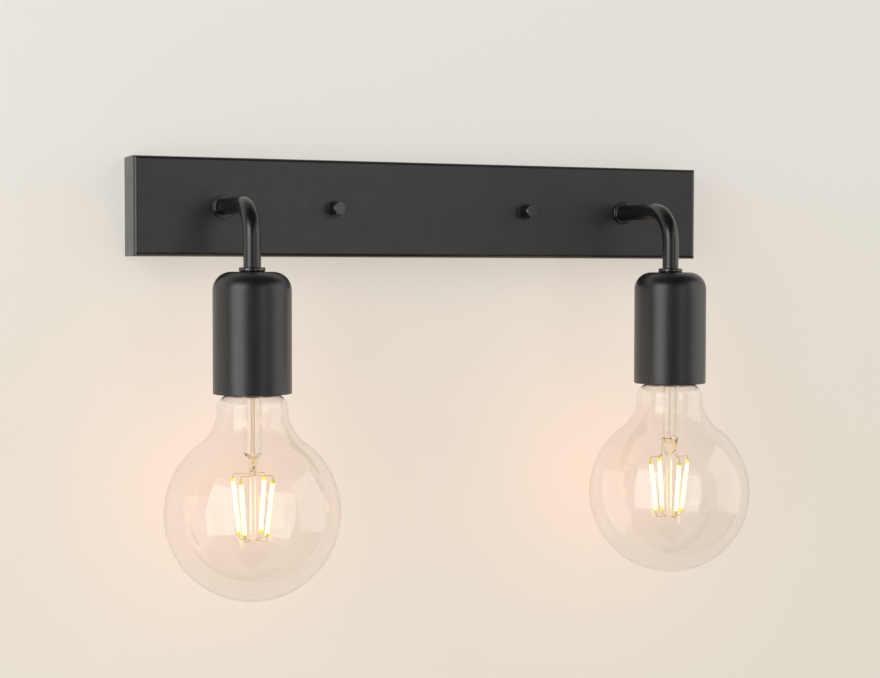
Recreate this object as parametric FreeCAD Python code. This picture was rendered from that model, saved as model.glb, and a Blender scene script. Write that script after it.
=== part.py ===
"""Double wall lamp: a folded steel backplate with two bent tube arms, two lampholder cups and two
screw-in globe bulbs. Sizes in millimetres. The origin is the centre of the wall plane behind the
backplate, X runs along the backplate, +Y goes into the wall and +Z is up: the lamp faces -Y."""

import FreeCAD, Part
import math
import os

Vector = FreeCAD.Vector
ORIGIN = Vector(0, 0, 0)
ACROSS = Vector(1, 0, 0)
INWARD = Vector(0, 1, 0)
UP = Vector(0, 0, 1)
FULL_TURN = 360.0
QUARTER_TURN = 90.0
SIDES = {"left": -1, "right": 1}
same_point = 1e-6
cut_overrun = 1.0
small_gap = 0.15

# Backplate: a pan of folded sheet, open towards the wall
plate_length = 357.0
plate_height = 56.5
plate_depth = 26.7
sheet_thickness = 1.2
fold_radius = 2.2

# Wall bracket: a shallow channel that stands on its two flanges
bracket_length = 210.0
bracket_height = 22.0
bracket_depth = 5.0
bracket_thickness = 1.5
bracket_fold_radius = 2.2
cable_hole_diameter = 16.0
wall_slot_spacing = 68.0
wall_slot_length = 16.0
wall_slot_width = 5.0

# Studs from the bracket through the backplate, with lock nuts behind and cap nuts in front
stud_spacing = 121.7
stud_diameter = 4.0
stud_point = 0.5
stud_head_diameter = 7.0
stud_head_height = 2.5
stud_head_rounding = 1.0
stud_grip = 6.2
stud_clearance = 0.25
thread_fit = 0.05
seat_gap = 0.05
lock_nut_flats = 7.0
lock_nut_thickness = 3.2
nut_washer_diameter = 9.4
nut_washer_thickness = 0.8
cap_nut_flats = 7.5
cap_nut_length = 9.7
cap_nut_bore_depth = 7.6
cap_nut_chamfer = 0.7
nut_chamfer = 0.4

# Arms: bent tube, threaded at both ends
arm_spacing = 254.3
arm_reach = 62.3
arm_drop = 36.8
arm_bend_radius = 20.0
tube_diameter = 9.5
tube_wall = 1.0
tube_clearance = 0.15
tube_thread_spare = 2.5
tube_grip = 9.0
ferrule_diameter = 13.8
ferrule_base_thickness = 1.6
ferrule_step_diameter = 11.6
ferrule_step_thickness = 1.2
ferrule_rounding = 0.45
arm_washer_diameter = 14.6
arm_washer_thickness = 0.8
arm_nut_flats = 14.3
arm_nut_thickness = 3.2

# Cup over the lampholder, and the collar above it
collar_diameter = 14.3
collar_thickness = 2.35
collar_rounding = 0.8
cup_diameter = 42.4
cup_height = 65.7
cup_wall = 1.2
cup_shoulder_radius = 10.0
cup_lip_radius = 0.5

# Bulb: a clear globe of 95 mm on a screw cap of 27 mm nominal size
globe_diameter = 95.0
neck_gap = 0.25
bulb_seat_height = 26.35
glass_wall = 0.9
neck_diameter = 38.4
neck_fillet_radius = 22.0
neck_shoulder_radius = 8.5
neck_seal_diameter = 25.3
neck_in_cap = 6.0
cap_diameter = 26.2
cap_height = 26.5
cap_wall = 0.3
cap_shell_height = 22.0
cap_roll_radius = 1.6
cap_mouth_diameter = 21.0
insulator_skirt = 1.2
tip_diameter = 9.6
tip_thickness = 1.3
tip_rounding = 0.6
tip_margin = 0.8

# Glass stem, wires and filaments inside the bulb, measured down from the cap's edge
stem_diameter = 10.0
stem_wall = 1.1
stem_flare_height = 7.0
stem_flare_rounding = 3.0
press_drop = 32.3
press_turn_height = 3.0
press_height = 3.2
press_width = 9.4
press_thickness = 5.0
press_taper_height = 5.0
rod_diameter = 3.0
rod_drop = 80.2
wire_diameter = 0.5
wire_bend_radius = 0.8
inner_wire_spacing = 7.0
lead_wire_spacing = 9.2
lead_wire_seat_share = 0.2
lead_wire_drop = 43.7
bottom_wire_drop = 79.2
filament_count = 4
filament_diameter = 2.0
filament_tab_diameter = 0.9
filament_tab_length = 1.2
filament_top_drop = 45.9
filament_bottom_drop = 76.9
filament_top_radius = 12.5
filament_bottom_radius = 8.4
board_width = 15.0
board_height = 12.5
board_thickness = 1.0
board_lift = 1.0
capacitor_diameter = 6.0
capacitor_height = 9.0
chip_size = 4.0
chip_thickness = 1.5
bulb_turn_degrees = {"left": 90.0, "right": -45.0}

# Lampholder inside the cup
socket_fit = 0.35
socket_wall = 0.35
socket_height = 25.0
socket_flange_width = 2.6
holder_wall = 2.2
holder_lip_height = 1.2
holder_lip_rounding = 0.6
holder_joint_height = 2.3
dome_neck_diameter = 16.4
dome_neck_height = 6.0
dome_shoulder_radius = 7.0
dome_neck_fillet = 1.5
bush_diameter = 12.6
contact_gap = 0.3
contact_thickness = 0.4
contact_width = 5.0
contact_spring_height = 3.2
contact_reach = 9.0
contact_foot = 3.5
contact_tongue = 2.6
block_thickness = 10.0
wire_hole_diameter = 2.7
wire_hole_depth = 6.0
terminal_offset = 6.5
terminal_screw_offset = 5.6
terminal_screw_diameter = 3.0
terminal_screw_length = 6.0
terminal_head_diameter = 4.8
terminal_head_height = 1.5

# Terminal block and earth screw on the wall bracket
block_place_share = 0.365
pole_count = 3
pole_pitch = 9.5
terminal_length = 17.0
terminal_depth = 13.0
terminal_rounding = 1.0
entry_diameter = 5.2
entry_depth = 2.5
sleeve_diameter = 4.6
sleeve_bore_diameter = 3.2
clamp_screw_spacing = 7.6
clamp_screw_diameter = 2.6
clamp_screw_length = 3.4
clamp_well_diameter = 3.6
fixing_screw_diameter = 3.0
fixing_head_diameter = 5.4
fixing_head_height = 2.0
earth_screw_diameter = 4.0
earth_screw_length = 3.2
earth_head_diameter = 7.0
earth_head_height = 2.6
head_rounding_share = 0.4

# Leads inside the arms and the backplate, and the earth tag on the right arm
lead_diameter = 2.2
core_diameter = 0.9
core_length = 3.5
lead_offset = 1.3
lead_lane_height = 17.0
lead_rise = 5.0
lead_lead_in = 2.0
lane_turn_length = 14.0
lane_straight_length = 6.0
bend_share = 0.45
tag_diameter = 13.6
tag_thickness = 0.8
tag_tail_length = 13.0
tag_tail_width = 3.2
tag_barrel_diameter = 3.4
tag_barrel_length = 5.0
earth_lead_straight = 4.0

# Places worked out from the sizes above
plate_front = -plate_depth
plate_inside = plate_front + sheet_thickness
arm_axis = plate_front - arm_reach
web_front = -bracket_depth
web_back = web_front + bracket_thickness
washer_face = plate_inside + arm_washer_thickness
tube_tail = washer_face + tag_thickness + arm_nut_thickness + tube_thread_spare
cup_top = -arm_drop
cup_rim = cup_top - cup_height
ceiling = cup_top - cup_wall
tube_end = ceiling - tube_grip
bulb_tip = cup_rim + bulb_seat_height
cap_edge = bulb_tip - cap_height
seal_reach = neck_seal_diameter / 2 - neck_diameter / 2 + neck_shoulder_radius
shoulder_drop = math.sqrt(neck_shoulder_radius ** 2 - seal_reach ** 2)
neck_widest = cap_edge - neck_gap - shoulder_drop
fillet_reach = neck_diameter / 2 + neck_fillet_radius
globe_drop = math.sqrt((globe_diameter / 2 + neck_fillet_radius) ** 2 - fillet_reach ** 2)
globe_centre = neck_widest - globe_drop
cap_shell_top = cap_edge + cap_shell_height
neck_top = cap_edge + neck_in_cap
socket_radius = cap_diameter / 2 + socket_fit
holder_bore = socket_radius + socket_wall + small_gap
holder_radius = holder_bore + holder_wall
contact_face = bulb_tip + contact_gap
block_bottom = contact_face + contact_thickness + contact_spring_height
block_top = block_bottom + block_thickness
holder_joint = block_top + holder_joint_height
socket_edge = block_bottom - socket_height
holder_edge = socket_edge - holder_lip_height
pole_axis = web_front - terminal_depth / 2
block_place = stud_spacing / 2 + block_place_share * (arm_spacing - stud_spacing) / 2
fixing_height = pole_pitch / 2


def rounded_wire(points, radii, closed=True):
    """Wire through the points, with a tangent arc of the given radius at each corner."""
    stops = []
    for index, (corner, radius) in enumerate(zip(points, radii)):
        if radius == 0:
            stops.append((corner, None, corner))
            continue
        back = (points[index - 1] - corner).normalize()
        ahead = (points[(index + 1) % len(points)] - corner).normalize()
        half = back.getAngle(ahead) / 2
        middle = corner + (back + ahead).normalize() * (radius / math.sin(half) - radius)
        reach = radius / math.tan(half)
        stops.append((corner + back * reach, middle, corner + ahead * reach))
    edges = []
    for index, (start, middle, end) in enumerate(stops):
        if middle is not None:
            edges.append(Part.Arc(start, middle, end).toShape())
        last = index == len(stops) - 1
        following = stops[0 if last else index + 1][0]
        if (closed or not last) and end.distanceToPoint(following) > same_point:
            edges.append(Part.makeLine(end, following))
    return Part.Wire(edges)


def turned(profile):
    """Solid of revolution about Z from (radius, height, corner rounding) stops."""
    points = [Vector(radius, 0, height) for radius, height, _ in profile]
    wire = rounded_wire(points, [rounding for _, _, rounding in profile])
    return Part.Face(wire).revolve(ORIGIN, UP, FULL_TURN)


def ring(outer_diameter, inner_diameter, height):
    """Flat ring that stands on z = 0."""
    outer = Part.makeCylinder(outer_diameter / 2, height)
    return outer.cut(Part.makeCylinder(inner_diameter / 2, height))


def hexagon(flats, height, bottom_chamfer, top_chamfer):
    """Hexagonal prism on z = 0 whose corners are turned down at both ends."""
    corner = flats / math.sqrt(3)
    sixth = math.pi / 3
    points = [Vector(corner * math.cos(n * sixth), corner * math.sin(n * sixth), 0) for n in range(6)]
    prism = Part.Face(Part.makePolygon(points + points[:1])).extrude(UP * height)
    profile = [(0, 0, 0), (corner - bottom_chamfer, 0, 0), (corner, bottom_chamfer, 0)]
    profile += [(corner, height - top_chamfer, 0), (corner - top_chamfer, height, 0), (0, height, 0)]
    return prism.common(turned(profile))


def hex_nut(flats, height, bore):
    return hexagon(flats, height, nut_chamfer, nut_chamfer).cut(Part.makeCylinder(bore / 2, height))


def machine_screw(head_diameter, head_height, diameter, length):
    """Pan-head screw along +Z with its head's top on z = 0."""
    rounding = head_height * head_rounding_share
    profile = [(0, 0, 0), (head_diameter / 2, 0, rounding), (head_diameter / 2, head_height, 0)]
    profile += [(diameter / 2, head_height, 0), (diameter / 2, head_height + length, 0)]
    return turned(profile + [(0, head_height + length, 0)])


def moved(shape, x, y, z):
    placed = shape.copy()
    placed.translate(Vector(x, y, z))
    return placed


def facing_out(shape, x, y, z):
    """Turns a shape built along +Z to run along -Y from y."""
    placed = shape.copy()
    placed.rotate(ORIGIN, ACROSS, QUARTER_TURN)
    placed.translate(Vector(x, y, z))
    return placed


def facing_in(shape, x, y, z):
    """Turns a shape built along +Z to run along +Y from y."""
    placed = shape.copy()
    placed.rotate(ORIGIN, ACROSS, -QUARTER_TURN)
    placed.translate(Vector(x, y, z))
    return placed


def hole_through(diameter, x, z, start, end):
    """Cutter along Y that overruns both faces."""
    return Part.makeCylinder(
        diameter / 2, end - start + 2 * cut_overrun, Vector(x, start - cut_overrun, z), INWARD
    )


def swept(path, diameter):
    """Round bar along a path of straight runs and tangent arcs."""
    first = path.OrderedEdges[0]
    start = path.OrderedVertexes[0].Point
    circle = Part.makeCircle(diameter / 2, start, first.tangentAt(first.FirstParameter))
    return path.makePipeShell([Part.Wire(circle)], True, False)


def folded_radius(outside, thickness):
    """Inside radius of a fold, never sharper than a quarter of the sheet."""
    return max(outside - thickness, thickness / 4)


def half_spacings(spacing):
    return (-spacing / 2, spacing / 2)


def pan_block(inset, back, rounding):
    """Block behind the backplate's front, drawn in by inset on five sides, with rounded front edges."""
    length = plate_length - 2 * inset
    height = plate_height - 2 * inset
    front = plate_front + inset
    block = Part.makeBox(length, back - front, height, Vector(-length / 2, front, -height / 2))
    folds = [edge for edge in block.Edges if abs(edge.BoundBox.YMax - front) < same_point]
    return block.makeFillet(rounding, folds)


def backplate():
    pan = pan_block(0, 0, fold_radius)
    inner_fold = folded_radius(fold_radius, sheet_thickness)
    pan = pan.cut(pan_block(sheet_thickness, cut_overrun, inner_fold))
    for x in half_spacings(arm_spacing):
        bore = tube_diameter + 2 * tube_clearance
        pan = pan.cut(hole_through(bore, x, 0, plate_front, plate_inside))
    for x in half_spacings(stud_spacing):
        bore = stud_diameter + 2 * stud_clearance
        pan = pan.cut(hole_through(bore, x, 0, plate_front, plate_inside))
    return pan


def wall_slot(x):
    """Cutter for one wall-screw slot, which runs along X."""
    half_straight = (wall_slot_length - wall_slot_width) / 2
    low = -wall_slot_width / 2
    points = [Vector(x + side * half_straight, web_front - cut_overrun, 0) for side in SIDES.values()]
    cutters = [
        Part.makeCylinder(wall_slot_width / 2, bracket_thickness + 2 * cut_overrun, point, INWARD)
        for point in points
    ]
    bar = Part.makeBox(
        2 * half_straight,
        bracket_thickness + 2 * cut_overrun,
        wall_slot_width,
        Vector(x - half_straight, web_front - cut_overrun, low),
    )
    return bar.fuse(cutters)


def wall_bracket():
    half = bracket_height / 2
    inner = half - bracket_thickness
    outline = [(0, -half), (web_front, -half), (web_front, half), (0, half)]
    outline += [(0, inner), (web_back, inner), (web_back, -inner), (0, -inner)]
    inner_fold = folded_radius(bracket_fold_radius, bracket_thickness)
    radii = [0, bracket_fold_radius, bracket_fold_radius, 0, 0, inner_fold, inner_fold, 0]
    points = [Vector(-bracket_length / 2, y, z) for y, z in outline]
    channel = Part.Face(rounded_wire(points, radii)).extrude(ACROSS * bracket_length)
    holes = [wall_slot(x) for x in half_spacings(wall_slot_spacing)]
    holes.append(hole_through(cable_hole_diameter, 0, 0, web_front, web_back))
    tapped = [(stud_diameter, x, 0) for x in half_spacings(stud_spacing)]
    tapped.append((fixing_screw_diameter, block_place, fixing_height))
    tapped.append((earth_screw_diameter, -block_place, 0))
    for diameter, x, z in tapped:
        holes.append(hole_through(diameter + 2 * thread_fit, x, z, web_front, web_back))
    return channel.cut(holes)


def mounting_studs():
    tip = plate_front - nut_washer_thickness - stud_grip
    head_back = web_back + stud_head_height
    shank = head_back - tip
    radius = stud_diameter / 2
    profile = [(0, 0, 0), (stud_head_diameter / 2, 0, stud_head_rounding)]
    profile += [(stud_head_diameter / 2, stud_head_height, 0), (radius, stud_head_height, 0)]
    profile += [(radius, shank - stud_point, 0), (radius - stud_point, shank, 0), (0, shank, 0)]
    stud = turned(profile)
    return [facing_out(stud, x, head_back, 0) for x in half_spacings(stud_spacing)]


def stud_lock_nuts():
    nut = hex_nut(lock_nut_flats, lock_nut_thickness, stud_diameter + 2 * thread_fit)
    return [facing_out(nut, x, web_front, 0) for x in half_spacings(stud_spacing)]


def nut_washer(side):
    washer = ring(nut_washer_diameter, stud_diameter + 2 * stud_clearance, nut_washer_thickness)
    return facing_out(washer, side * stud_spacing / 2, plate_front - seat_gap, 0)


def cap_nut(side):
    nut = hexagon(cap_nut_flats, cap_nut_length, nut_chamfer, cap_nut_chamfer)
    nut = nut.cut(Part.makeCylinder(stud_diameter / 2 + thread_fit, cap_nut_bore_depth))
    seat = plate_front - nut_washer_thickness - 2 * seat_gap
    return facing_out(nut, side * stud_spacing / 2, seat, 0)


def arm_path(x):
    points = [Vector(x, tube_tail, 0), Vector(x, arm_axis, 0), Vector(x, arm_axis, tube_end)]
    return rounded_wire(points, [0, arm_bend_radius, 0], closed=False)


def arm_tube(x):
    path = arm_path(x)
    return swept(path, tube_diameter).cut(swept(path, tube_diameter - 2 * tube_wall))


def wall_ferrule(x):
    bore = tube_diameter / 2 + tube_clearance
    top = ferrule_base_thickness + ferrule_step_thickness
    profile = [(bore, 0, 0), (ferrule_diameter / 2, 0, 0)]
    profile += [(ferrule_diameter / 2, ferrule_base_thickness, ferrule_rounding)]
    profile += [(ferrule_step_diameter / 2, ferrule_base_thickness, 0)]
    profile += [(ferrule_step_diameter / 2, top, ferrule_rounding), (bore, top, 0)]
    return facing_out(turned(profile), x, plate_front, 0)


def arm_washers():
    washer = ring(arm_washer_diameter, tube_diameter + 2 * tube_clearance, arm_washer_thickness)
    return [facing_in(washer, x, plate_inside, 0) for x in half_spacings(arm_spacing)]


def arm_nuts():
    nut = hex_nut(arm_nut_flats, arm_nut_thickness, tube_diameter + 2 * thread_fit)
    left, right = half_spacings(arm_spacing)
    seats = {left: washer_face, right: washer_face + tag_thickness}
    return [facing_in(nut, x, seat, 0) for x, seat in seats.items()]


def cup_collar(x):
    bore = tube_diameter / 2 + tube_clearance
    profile = [(bore, cup_top, 0), (collar_diameter / 2, cup_top, collar_rounding)]
    profile += [(collar_diameter / 2, cup_top + collar_thickness, collar_rounding)]
    profile += [(bore, cup_top + collar_thickness, 0)]
    return moved(turned(profile), x, arm_axis, 0)


def cup(x):
    bore = tube_diameter / 2 + tube_clearance
    radius = cup_diameter / 2
    inner = radius - cup_wall
    inner_shoulder = folded_radius(cup_shoulder_radius, cup_wall)
    profile = [(bore, cup_top, 0), (radius, cup_top, cup_shoulder_radius)]
    profile += [(radius, cup_rim, cup_lip_radius), (inner, cup_rim, cup_lip_radius)]
    profile += [(inner, ceiling, inner_shoulder), (bore, ceiling, 0)]
    return moved(turned(profile), x, arm_axis, 0)


def holder_bush(x):
    bush = ring(bush_diameter, tube_diameter + 2 * thread_fit, tube_grip)
    return moved(bush, x, arm_axis, tube_end)


def holder_dome(x):
    neck = dome_neck_diameter / 2
    bore = bush_diameter / 2 + small_gap
    shoulder = ceiling - dome_neck_height
    inner_radius = folded_radius(dome_shoulder_radius, holder_wall)
    profile = [(holder_bore, holder_joint, 0), (holder_radius, holder_joint, 0)]
    profile += [(holder_radius, shoulder, dome_shoulder_radius), (neck, shoulder, dome_neck_fillet)]
    profile += [(neck, ceiling, 0), (bore, ceiling, 0), (bore, shoulder - holder_wall, 0)]
    profile += [(holder_bore, shoulder - holder_wall, inner_radius)]
    return moved(turned(profile), x, arm_axis, 0)


def holder_skirt(x):
    lip_top = socket_edge - small_gap
    profile = [(socket_radius, holder_edge, 0), (holder_radius, holder_edge, holder_lip_rounding)]
    profile += [(holder_radius, holder_joint, 0), (holder_bore, holder_joint, 0)]
    profile += [(holder_bore, lip_top, 0), (socket_radius, lip_top, 0)]
    return moved(turned(profile), x, arm_axis, 0)


def contact_block(x):
    block = Part.makeCylinder(holder_bore - small_gap, block_thickness)
    for side in SIDES.values():
        hole_floor = block_thickness - wire_hole_depth
        place = Vector(side * terminal_offset, 0, hole_floor)
        block = block.cut(Part.makeCylinder(wire_hole_diameter / 2, block_thickness, place))
        screw_floor = block_thickness - terminal_screw_length - small_gap
        place = Vector(side * terminal_offset, -terminal_screw_offset, screw_floor)
        bore = terminal_screw_diameter / 2 + thread_fit
        block = block.cut(Part.makeCylinder(bore, block_thickness, place))
    return moved(block, x, arm_axis, block_bottom)


def holder_screws():
    head = terminal_head_height
    screw = machine_screw(
        terminal_head_diameter, head, terminal_screw_diameter, terminal_screw_length
    )
    screw.rotate(ORIGIN, ACROSS, 2 * QUARTER_TURN)
    places = [
        (x + side * terminal_offset, arm_axis - terminal_screw_offset)
        for x in half_spacings(arm_spacing)
        for side in SIDES.values()
    ]
    return [moved(screw, x, y, block_top + head) for x, y in places]


def socket_shell(x):
    outer = socket_radius + socket_wall
    flange_top = block_bottom - small_gap
    flange_inner = socket_radius - socket_flange_width
    profile = [(socket_radius, socket_edge, 0), (outer, socket_edge, 0), (outer, flange_top, 0)]
    profile += [(flange_inner, flange_top, 0), (flange_inner, flange_top - socket_wall, 0)]
    profile += [(socket_radius, flange_top - socket_wall, 0)]
    return moved(turned(profile), x, arm_axis, 0)


def centre_contact(x):
    """Spring strip under the contact block, bent down to the bulb's tip."""
    foot_end = contact_reach - contact_foot
    upper = [(contact_reach, block_bottom), (foot_end, block_bottom)]
    upper += [(contact_tongue, contact_face + contact_thickness)]
    upper += [(-contact_tongue, contact_face + contact_thickness)]
    lower = [(reach, height - contact_thickness) for reach, height in reversed(upper)]
    points = [Vector(x + reach, arm_axis - contact_width / 2, z) for reach, z in upper + lower]
    return Part.Face(Part.makePolygon(points + points[:1])).extrude(INWARD * contact_width)


def arc_in_profile(centre_radius, centre_height, radius, start, end):
    """Arc in the XZ plane between two angles in radians."""
    angles = (start, (start + end) / 2, end)
    stops = [
        Vector(centre_radius + radius * math.cos(a), 0, centre_height + radius * math.sin(a))
        for a in angles
    ]
    return Part.Arc(*stops).toShape()


def glass_profile(inset):
    """Globe profile from the neck's seal to the pole, drawn in by inset."""
    globe = globe_diameter / 2 - inset
    fillet = neck_fillet_radius + inset
    shoulder = neck_shoulder_radius - inset
    neck = neck_diameter / 2 - inset
    seal = neck_seal_diameter / 2 - inset
    to_seal = math.acos((seal - neck + shoulder) / shoulder)
    to_fillet = math.atan2(globe_drop, neck + fillet)
    start = Vector(seal, 0, neck_top)
    arcs = [
        arc_in_profile(neck - shoulder, neck_widest, shoulder, to_seal, 0),
        arc_in_profile(neck + fillet, neck_widest, fillet, math.pi, math.pi + to_fillet),
        arc_in_profile(0, globe_centre, globe, to_fillet, -math.pi / 2),
    ]
    straight = Part.makeLine(start, arcs[0].valueAt(arcs[0].FirstParameter))
    pole = Vector(0, 0, globe_centre - globe)
    return [straight] + arcs, start, pole


def bulb_glass():
    outside, outer_start, outer_pole = glass_profile(0)
    inside, inner_start, inner_pole = glass_profile(glass_wall)
    ends = [Part.makeLine(outer_pole, inner_pole), Part.makeLine(inner_start, outer_start)]
    wire = Part.Wire(Part.__sortEdges__(outside + inside + ends))
    return Part.Face(wire).revolve(ORIGIN, UP, FULL_TURN)


def screw_cap():
    outer = cap_diameter / 2
    inner = outer - cap_wall
    mouth = cap_mouth_diameter / 2
    under = cap_shell_top - cap_wall
    inner_roll = folded_radius(cap_roll_radius, cap_wall)
    profile = [(inner, cap_edge, 0), (outer, cap_edge, 0), (outer, cap_shell_top, cap_roll_radius)]
    profile += [(mouth, cap_shell_top, 0), (mouth, under, 0), (inner, under, inner_roll)]
    return turned(profile)


def cap_insulator():
    plug = cap_mouth_diameter / 2 - small_gap
    base = cap_shell_top - insulator_skirt
    crown = bulb_tip - tip_thickness - small_gap
    narrow = tip_diameter / 2 + tip_margin
    profile = [(0, base, 0), (plug, base, 0), (plug, cap_shell_top + small_gap, 0)]
    return turned(profile + [(narrow, crown, 0), (0, crown, 0)])


def tip_contact():
    radius = tip_diameter / 2
    base = bulb_tip - tip_thickness
    return turned([(0, base, 0), (radius, base, 0), (radius, bulb_tip, tip_rounding), (0, bulb_tip, 0)])


def driver_board():
    """Small circuit board on edge inside the cap, with its capacitor and its driver chip."""
    foot = neck_top + board_lift
    corner = Vector(-board_width / 2, -board_thickness / 2, foot)
    board = Part.makeBox(board_width, board_thickness, board_height, corner)
    capacitor_place = Vector(-board_width / 4, capacitor_diameter / 2, foot)
    capacitor = Part.makeCylinder(capacitor_diameter / 2, capacitor_height, capacitor_place)
    chip_corner = Vector(board_width / 4 - chip_size / 2, board_thickness / 2, foot + chip_size)
    chip = Part.makeBox(chip_size, chip_thickness, chip_size, chip_corner)
    return board.fuse([capacitor, chip])


def glass_stem():
    """Flared stem tube, pinched flat at its press, and the centre rod below it."""
    seal = neck_seal_diameter / 2 - glass_wall - small_gap
    radius = stem_diameter / 2
    inner = radius - stem_wall
    flare = neck_top - stem_flare_height
    press_top = cap_edge - press_drop
    profile = [(seal, neck_top, 0), (radius, flare, stem_flare_rounding), (radius, press_top, 0)]
    profile += [(inner, press_top, 0), (inner, flare, stem_flare_rounding)]
    profile += [(seal - stem_wall, neck_top, 0)]
    flat_top = press_top - press_turn_height
    flat_end = flat_top - press_height
    taper_end = flat_end - press_taper_height
    sections = [
        Part.makeCircle(radius, Vector(0, 0, press_top)),
        oval(press_width, press_thickness, flat_top),
        oval(press_width, press_thickness, flat_end),
        Part.makeCircle(rod_diameter / 2, Vector(0, 0, taper_end)),
    ]
    press = Part.makeLoft([Part.Wire(section) for section in sections], True, True)
    rod_end = cap_edge - rod_drop
    rod = Part.makeCylinder(rod_diameter / 2, taper_end - rod_end, Vector(0, 0, rod_end))
    return turned(profile).fuse([press, rod])


def oval(width, thickness, height):
    return Part.Ellipse(Vector(0, 0, height), width / 2, thickness / 2).toShape()


def filament_angles():
    step = 2 * math.pi / filament_count
    return [step / 2 + n * step for n in range(filament_count)]


def around(radius, angle, height):
    return Vector(radius * math.cos(angle), radius * math.sin(angle), height)


def wire_along(points):
    radii = [0] + [wire_bend_radius] * (len(points) - 2) + [0]
    return swept(rounded_wire(points, radii, closed=False), wire_diameter)


def support_wires():
    """Feed wires in the stem, the two lead wires below its press and the wires that join the
    filaments at the foot of the rod."""
    wires = []
    radius = wire_diameter / 2
    inner_foot = cap_edge - press_drop + small_gap
    inner_top = neck_top + board_lift - small_gap
    branch = cap_edge - lead_wire_drop
    press_foot = cap_edge - press_drop - press_turn_height - press_height
    hook = filament_top_drop - filament_tab_length - lead_wire_drop - small_gap
    angles = filament_angles()
    for side, (first, last) in ((1, (angles[-1], angles[0])), (-1, (angles[1], angles[2]))):
        place = Vector(side * inner_wire_spacing / 2, 0, inner_foot)
        wires.append(Part.makeCylinder(radius, inner_top - inner_foot, place))
        knee = Vector(side * lead_wire_spacing / 2, 0, branch)
        stops = [around(filament_top_radius, first, branch - hook), around(filament_top_radius, first, branch)]
        stops += [knee, around(filament_top_radius, last, branch)]
        stops += [around(filament_top_radius, last, branch - hook)]
        drop = press_foot - lead_wire_seat_share * press_taper_height - branch
        wires.append(wire_along(stops).fuse(Part.makeCylinder(radius, drop, knee)))
    floor = cap_edge - bottom_wire_drop
    tab_end = cap_edge - filament_bottom_drop - filament_tab_length - small_gap
    for angle in angles:
        start = around(rod_diameter / 2 + small_gap, angle, floor)
        wires.append(wire_along([start, around(filament_bottom_radius, angle, floor),
                                 around(filament_bottom_radius, angle, tab_end)]))
    return wires


def filaments():
    """Four leaning rods of coated light-emitting chips, with a metal tab at each end."""
    rods = []
    for angle in filament_angles():
        top = around(filament_top_radius, angle, cap_edge - filament_top_drop)
        bottom = around(filament_bottom_radius, angle, cap_edge - filament_bottom_drop)
        along = (bottom - top).normalize()
        length = top.distanceToPoint(bottom)
        body = Part.makeCylinder(filament_diameter / 2, length, top, along)
        tab_start = top - along * filament_tab_length
        tab = Part.makeCylinder(filament_tab_diameter / 2, length + 2 * filament_tab_length, tab_start, along)
        rods.append(body.fuse(tab))
    return rods


def terminal_poles():
    middle = (pole_count - 1) / 2
    return [(n - middle) * pole_pitch for n in range(pole_count)]


def along_x(diameter, start, end, y, z):
    return Part.makeCylinder(diameter / 2, end - start, Vector(start, y, z), ACROSS)


def terminal_block():
    height = pole_count * pole_pitch
    near = block_place - terminal_length / 2
    far = block_place + terminal_length / 2
    corner = Vector(near, web_front - terminal_depth, -height / 2)
    body = Part.makeBox(terminal_length, terminal_depth, height, corner)
    outer = [edge for edge in body.Edges if abs(edge.BoundBox.YMax - corner.y) < same_point]
    body = body.makeFillet(terminal_rounding, outer)
    cutters = []
    for z in terminal_poles():
        cutters.append(along_x(sleeve_diameter + 2 * small_gap, near, far, pole_axis, z))
        cutters.append(along_x(entry_diameter, near, near + entry_depth, pole_axis, z))
        cutters.append(along_x(entry_diameter, far - entry_depth, far, pole_axis, z))
        for side in half_spacings(clamp_screw_spacing):
            well_start = web_front - terminal_depth
            cutters.append(hole_through(clamp_well_diameter, block_place + side, z, well_start, pole_axis - cut_overrun))
    bore = fixing_screw_diameter + 2 * small_gap
    cutters.append(hole_through(bore, block_place, fixing_height, web_front - terminal_depth, web_front))
    return body.cut(cutters)


def terminal_sleeves():
    half = terminal_length / 2 - entry_depth
    sleeves = []
    for z in terminal_poles():
        sleeve = along_x(sleeve_diameter, block_place - half, block_place + half, pole_axis, z)
        cutters = [along_x(sleeve_bore_diameter, block_place - half, block_place + half, pole_axis, z)]
        for side in half_spacings(clamp_screw_spacing):
            bore = clamp_screw_diameter + 2 * thread_fit
            start = pole_axis - sleeve_diameter
            cutters.append(hole_through(bore, block_place + side, z, start, pole_axis - cut_overrun))
        sleeves.append(sleeve.cut(cutters))
    return sleeves


def terminal_screws():
    tip = pole_axis - core_diameter / 2 - small_gap
    screw = Part.makeCylinder(clamp_screw_diameter / 2, clamp_screw_length)
    return [
        facing_out(screw, block_place + side, tip, z)
        for z in terminal_poles()
        for side in half_spacings(clamp_screw_spacing)
    ]


def block_screw():
    length = terminal_depth + bracket_thickness
    screw = machine_screw(fixing_head_diameter, fixing_head_height, fixing_screw_diameter, length)
    head_front = web_front - terminal_depth - fixing_head_height
    return facing_in(screw, block_place, head_front, fixing_height)


def earth_screw():
    screw = machine_screw(earth_head_diameter, earth_head_height, earth_screw_diameter, earth_screw_length)
    return facing_in(screw, -block_place, web_front - earth_head_height, 0)


def tag_barrel_place():
    """Start of the earth tag's barrel on the right arm, and the height of its axis over the sheet."""
    start = arm_spacing / 2 - tag_tail_length - tag_barrel_length
    return start, plate_inside + tag_barrel_diameter / 2 + small_gap


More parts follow.
